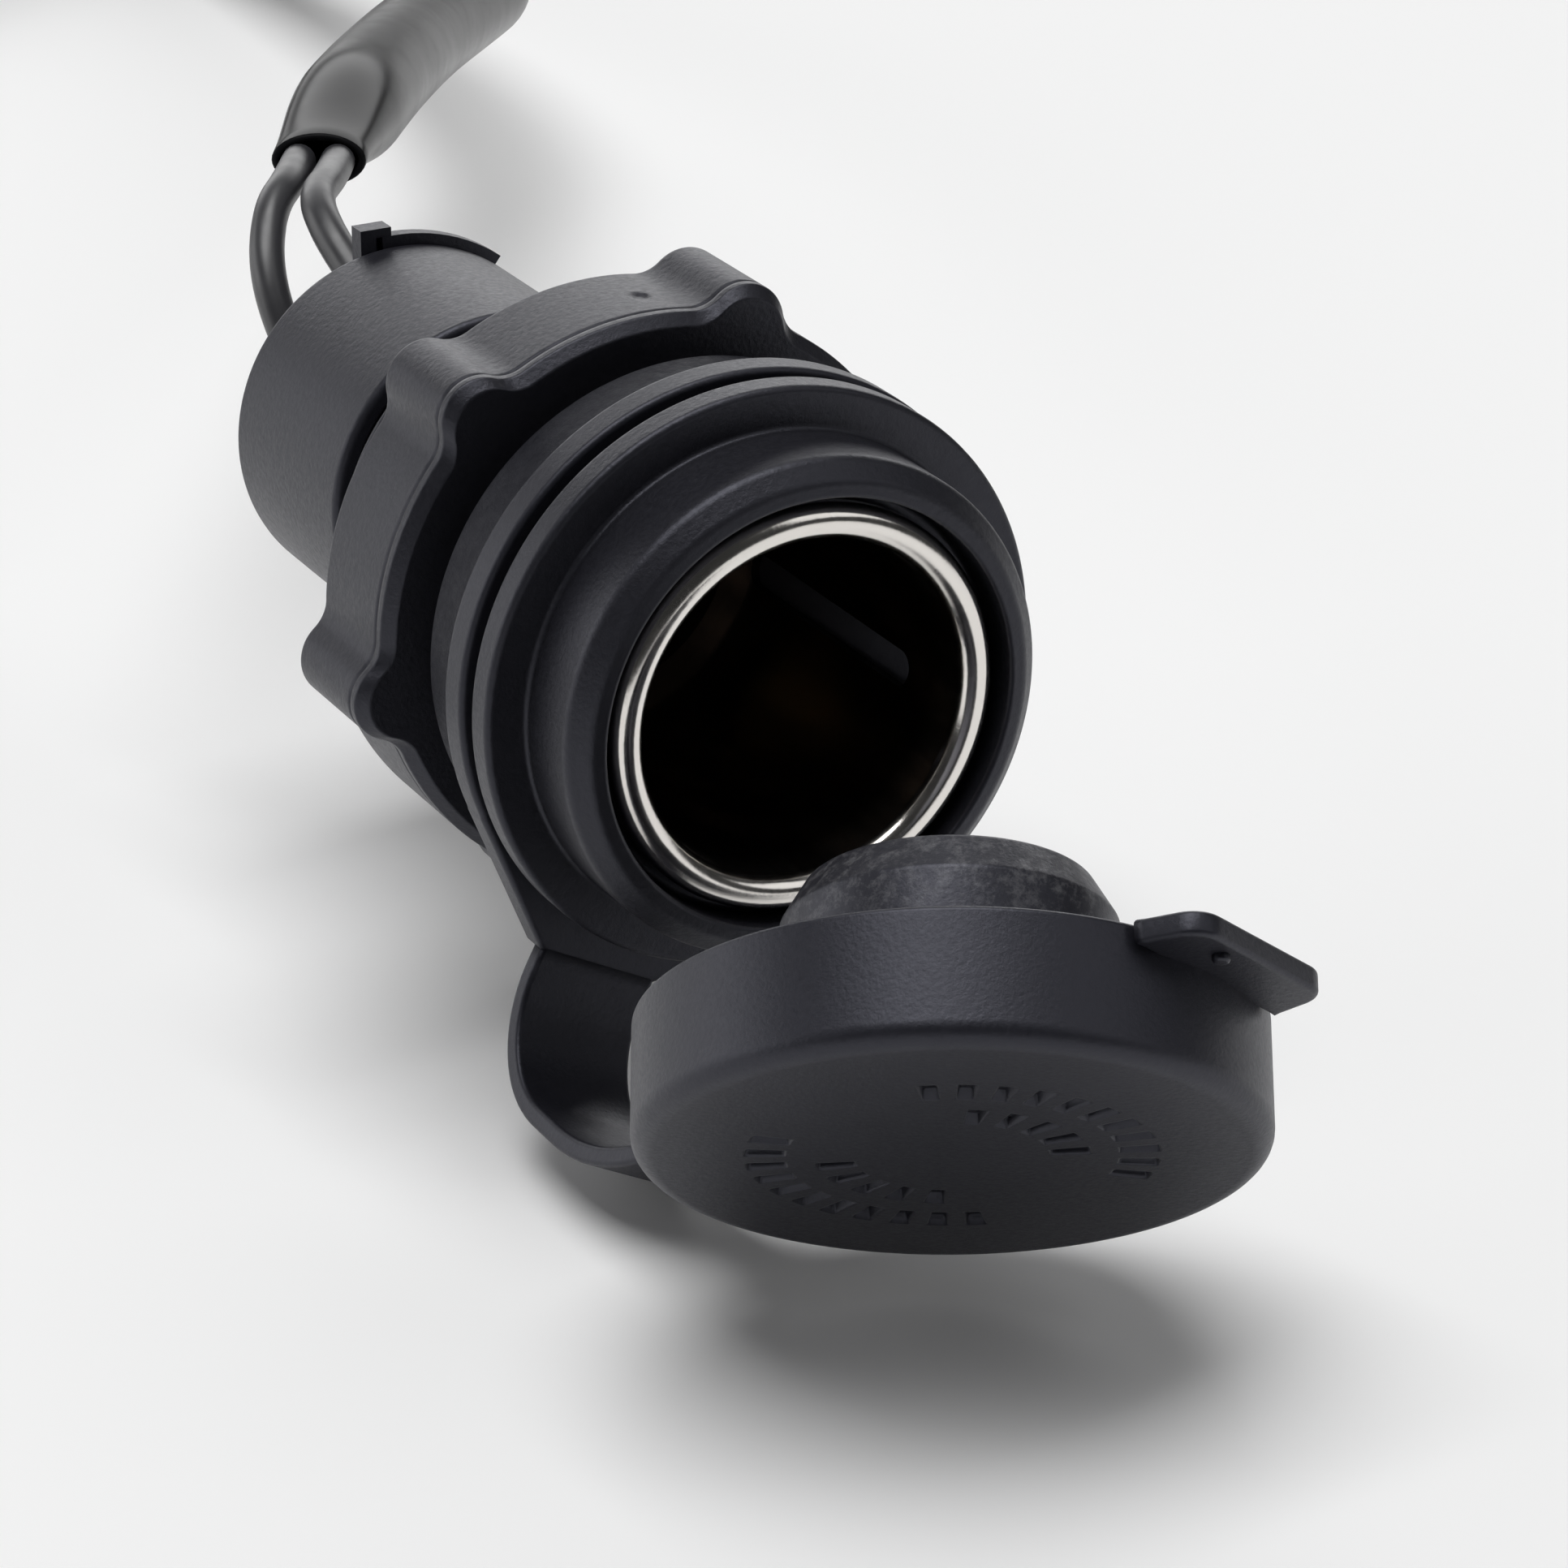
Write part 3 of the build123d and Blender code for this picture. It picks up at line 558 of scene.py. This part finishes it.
def addNut():
    n = nut
    loop = [(n["bore"], n["front"], 0.2), (n["valley"] - n["bevel"], n["front"], 0.25),
            (n["valley"], n["front"] + n["bevel"], 0.25), (n["valley"], n["line"] - n["lineDeep"], 0),
            (n["valley"] - n["lineDeep"], n["line"], 0), (n["valley"], n["line"] + n["lineDeep"], 0),
            (n["valley"], n["back"], 0.35), (n["bore"], n["back"], 0.2)]
    line = filled(rounded([p[:2] for p in loop], [p[2] for p in loop]), 0.3)
    share = np.clip((line[:, 0] - n["bore"]) / (n["valley"] - n["bevel"] - n["bore"]), 0, 1)
    points, faces = spun(np.c_[line, share], 720, nutOutline, n["valley"])
    # Round ejector mark: points near it sink, with a slope at its edge
    clock = np.radians(n["dotClock"])
    mark = np.array([n["valley"] * np.sin(clock), n["dotY"], n["valley"] * np.cos(clock)])
    away = np.linalg.norm(points - mark, axis=1)
    sink = np.clip(n["dotReach"] - away, 0, n["dotDeep"])
    points[:, [0, 2]] -= unit(points[:, [0, 2]]) * sink[:, None]
    addPiece("ring_nut_looks", [(points, faces)], blackPlastic, "nut", ("ring_nut",))


def band(piece, inner):
    # Section of a plain ring: small rounding at the bore, the piece's own edge outside
    corners = [(piece["bore"], piece["front"]), (piece["outer"], piece["front"]),
               (piece["outer"], piece["back"]), (piece["bore"], piece["back"])]
    return rounded(corners, [inner, piece["edge"], piece["edge"], inner])


def addGasket():
    addPiece("panel_gasket_looks", [spun(band(gasket, 0.1), 240)], gasketRubber, "socket",
             ("panel_gasket",))


# Tether ring: a round ring whose flanks run straight out to the strap's root
def ringOutline(degrees):
    lug = 180.0 + strap["clock"]
    off = np.abs((degrees - lug + 180.0) % 360.0 - 180.0)
    # No angle past 60 degrees is used, and the limit keeps the cosines away from 0
    end = ring["lugReach"] / np.cos(np.radians(np.minimum(off, 60)))
    flank = ring["flank"] / np.cos(np.radians(np.minimum(np.abs(off - ring["flankTurn"]), 60)))
    corner = np.degrees(np.arctan2(ring["lugHalf"], ring["lugReach"]))
    return np.where(off < corner, end, np.where(off < ring["flankTurn"], flank, ring["outer"]))


def addTetherRing():
    r = ring
    line = band(r, 0.1)
    share = np.clip((line[:, 0] - r["bore"]) / (r["outer"] - r["edge"] - r["bore"]), 0, 1)
    addPiece("tether_ring_looks", [spun(np.c_[line, share], 480, ringOutline, r["outer"])], blackRubber,
             "socket", ("tether_ring",))


def addCover():
    addPiece("rear_cover_looks", [spun(band(cover, 0.2), 240)], blackPlastic, "socket",
             ("rear_cover",))


# Cap: skirt, floor and plug turned, with the tab and the strap's root as plates sunk into the skirt
def dashes(across, away):
    # Depth of the engraved dashes on the cap's face, in two double arcs
    radius, angle = np.hypot(across, away), np.degrees(np.arctan2(across, away))
    depth = np.zeros_like(radius)
    tall, wide, pitch = marks["tall"], marks["wide"], marks["pitch"]
    for middle, spread, at in marks["arcs"]:
        off = (angle - middle + 180.0) % 360.0 - 180.0
        along = np.radians(off) * at / pitch
        share = np.abs(along - np.round(along)) * pitch
        inArc = np.abs(np.round(along) * pitch / at) <= np.radians(spread)
        edge = np.minimum(wide / 2 - share, tall / 2 - np.abs(radius - at)) / marks["slope"]
        depth = np.maximum(depth, np.where(inArc, np.clip(edge, 0, 1), 0))
    return smooth(depth) * marks["deep"]


def addCap():
    c = cap
    face, tip = c["rim"] - c["height"], c["rim"] + c["plugReach"]
    floorY, inside = face + c["floor"], c["radius"] - c["wall"]
    loop = [(0, face, 0), (c["radius"], face, c["edge"]), (c["radius"], c["rim"], 0.3),
            (inside + c["lead"], c["rim"], 0.15), (inside, c["rim"] - 2 * c["lead"], 0.3),
            (inside, floorY, 0.5), (c["plug"], floorY, 0.5), (c["plug"], tip - c["bevelLength"], 0.6),
            (c["plug"] - c["bevel"], tip, 0.5), (0, tip, 0)]
    line = rounded([p[:2] for p in loop], [p[2] for p in loop], closed=False, steps=8)
    # Close rings where the marks are, and a few plain ones on each side of them
    fine = np.r_[2.0, 4.2, np.arange(marks["ringFrom"], marks["ringTo"], marks["ringStep"]), 12.8]
    line = np.vstack([line[:1], np.c_[fine, np.full(len(fine), face)], line[1:]])
    points, faces = spunFromAxis(line, 640)
    onFace = np.abs(points[:, 1] - face) < 1e-6
    points[onFace, 1] += dashes(points[onFace] @ acrossDir, -(points[onFace] @ outDir))
    parts = [(openOut(points), faces)]
    clock = np.radians(180.0 + tab["clock"])

    def onRim(outline, low, high, edge):
        # Plate of an outline in the rim's plane, turned to the tab's clock
        rings = slab(outline, low, high, edge)
        across = rings[..., 0] * np.cos(clock) - rings[..., 1] * np.sin(clock)
        out = rings[..., 0] * np.sin(clock) + rings[..., 1] * np.cos(clock)
        along = rings[..., 2] + c["rim"]
        placed = across[..., None] * acrossDir + out[..., None] * outDir - along[..., None] * forwardDir
        solid = ringsToSolid(placed)
        parts.append((openOut(solid[0]), solid[1]))

    half, root, end = tab["halfWidth"], c["radius"] - tab["sunk"], c["radius"] + tab["reach"]
    lean = tab["flare"] * (end - root) / (tab["reach"] + tab["root"])
    outline = rounded([(-half - lean, root), (-half, end), (half, end), (half + lean, root)],
                      [0, tab["corner"], tab["corner"], 0], steps=10)
    onRim(filled(outline, 0.6), -tab["thick"], 0.0, tab["edge"])
    bend = np.linspace(0, 2 * np.pi, 28, endpoint=False)
    pip = np.c_[tab["pipAcross"] + tab["pip"] * np.cos(bend), end - tab["pipIn"] + tab["pip"] * np.sin(bend)]
    onRim(pip, -tab["thick"] - tab["pipHigh"], tab["pipSunk"] - tab["thick"], tab["pipEdge"])
    low, high = c["radius"] - pad["sunk"], c["radius"] + pad["reach"]
    at = strap["mouth"] - c["rim"] + pad["mid"]
    front, back = at - pad["thick"] / 2, at + pad["thick"] / 2
    outline = rounded([(front, low), (front, high), (back, high), (back, low)],
                      [0, pad["edge"], pad["edge"], 0])
    rings = slab(filled(outline, 0.4), -strap["width"] / 2, strap["width"] / 2, pad["sideEdge"])
    solid = ringsToSolid(strapSpace(rings[..., 0], rings[..., 1], rings[..., 2]))
    parts.append((openOut(solid[0]), solid[1]))
    obj = addPiece("cap_looks", parts, capRubber, "cap", ("cap",))
    # Scuffed where the plug stands out of the skirt
    worn = np.zeros(len(obj.data.vertices))
    worn[:len(points)] = np.clip((points[:, 1] - c["rim"] - 0.4) / 0.8, 0, 1)
    obj.data.attributes.new("worn", "FLOAT", "POINT").data.foreach_set("value", worn)


# Strap: a flat band that drops from the lug, bends and rises to the cap
def addStrap():
    s = strap
    swing = np.radians(cap["open"])
    arm = np.array([s["mouth"] - cap["rim"] + pad["up"] - s["hinge"][0],
                    cap["radius"] + pad["reach"] - s["hinge"][1]])
    end = np.array(s["hinge"]) + np.array([arm[0] * np.cos(swing) - arm[1] * np.sin(swing),
                                           arm[0] * np.sin(swing) + arm[1] * np.cos(swing)])
    rise = end[0] - (s["low"] - end[1]) * np.tan(swing)
    corners = [(s["root"], s["rootOut"] - s["rootSunk"]), (s["root"], s["low"]), (rise, s["low"]), tuple(end)]
    line = rounded(corners, [0, s["dropR"], s["riseR"], 0], closed=False, steps=24, most=0.96)
    line = np.vstack([line[:-1], line[-1] + s["endSunk"] * unit(line[-1] - line[-2])])
    tangent = unit(np.gradient(line, axis=0))
    normal = np.stack([-tangent[:, 1], tangent[:, 0]], -1)
    half, thick = s["width"] / 2, s["thick"] / 2
    section = rounded([(-half, -thick), (half, -thick), (half, thick), (-half, thick)],
                      [s["edge"]] * 4, steps=5)
    spots = line[:, None] + normal[:, None] * section[None, :, 1:]
    rings = strapSpace(spots[..., 0], spots[..., 1], np.repeat(section[None, :, 0], len(line), 0))
    obj = addPiece("tether_strap_looks", [ringsToSolid(rings)], blackRubber, None,
                   ("tether_strap",))
    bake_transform(obj)


addBody()
addNut()
addGasket()
addTetherRing()
addCover()
addCap()
addStrap()
print("pieces made")

# Inner pieces and fittings keep their solids and get finished materials
finishes = {blackPlastic: ["rear_lid"], nickelPlate: ["contact_sleeve"], phenolic: ["contact_insulator"],
            brass: ["centre_contact", "live_blade", "ground_blade", "live_receptacle", "ground_receptacle"],
            zincSteel: ["lock_washer", "stud_nut", "live_terminal", "ground_terminal"],
            corePvc: ["live_tail", "ground_tail"], tieNylon: ["coil_tie"]}
for material, names in finishes.items():
    for name in names:
        nodes[name].data.materials.clear()
        nodes[name].data.materials.append(material)
print("finishes set")


# Plain white floor that fills the view
def addFloor():
    half = floor["size"] / 2
    mesh = bpy.data.meshes.new("floor")
    corners = [(-half, -half), (half, -half), (half, half), (-half, half)]
    mesh.from_pydata([(x, y, floor["z"] * mm) for x, y in corners], [], [(0, 1, 2, 3)])
    obj = bpy.data.objects.new("floor", mesh)
    bpy.context.scene.collection.objects.link(obj)
    material, tree, shader = shaderNodes("floor")
    shader.inputs["Base Color"].default_value = (floor["white"],) * 3 + (1,)
    shader.inputs["Roughness"].default_value = floor["rough"]
    shader.inputs["Specular IOR Level"].default_value = floor["specular"]
    mesh.materials.append(material)


def addLight(name, at, target, size, strength):
    # Rectangular softbox, as strong as its radiance, looking at a point
    data = bpy.data.lights.new(name, "AREA")
    data.shape = "RECTANGLE"
    data.size, data.size_y = size
    data.energy = strength * np.pi * size[0] * size[1]
    obj = bpy.data.objects.new(name, data)
    bpy.context.scene.collection.objects.link(obj)
    back = unit(np.array(at, float) - np.array(target, float))
    side = unit(np.cross((0.0, 0.0, 1.0), back))
    look = np.eye(4)
    look[:3, 0], look[:3, 1], look[:3, 2], look[:3, 3] = side, np.cross(back, side), back, at
    obj.matrix_world = Matrix(look.tolist())


def addWorld(strength):
    world = bpy.data.worlds.new("world")
    bpy.context.scene.world = world
    world.use_nodes = True
    background = world.node_tree.nodes["Background"]
    background.inputs["Color"].default_value = (1, 1, 1, 1)
    background.inputs["Strength"].default_value = strength


addFloor()
for light in lights:
    addLight(**light)
addWorld(worldStrength)
bpy.context.scene.view_settings.view_transform = "Standard"
print("stage set")
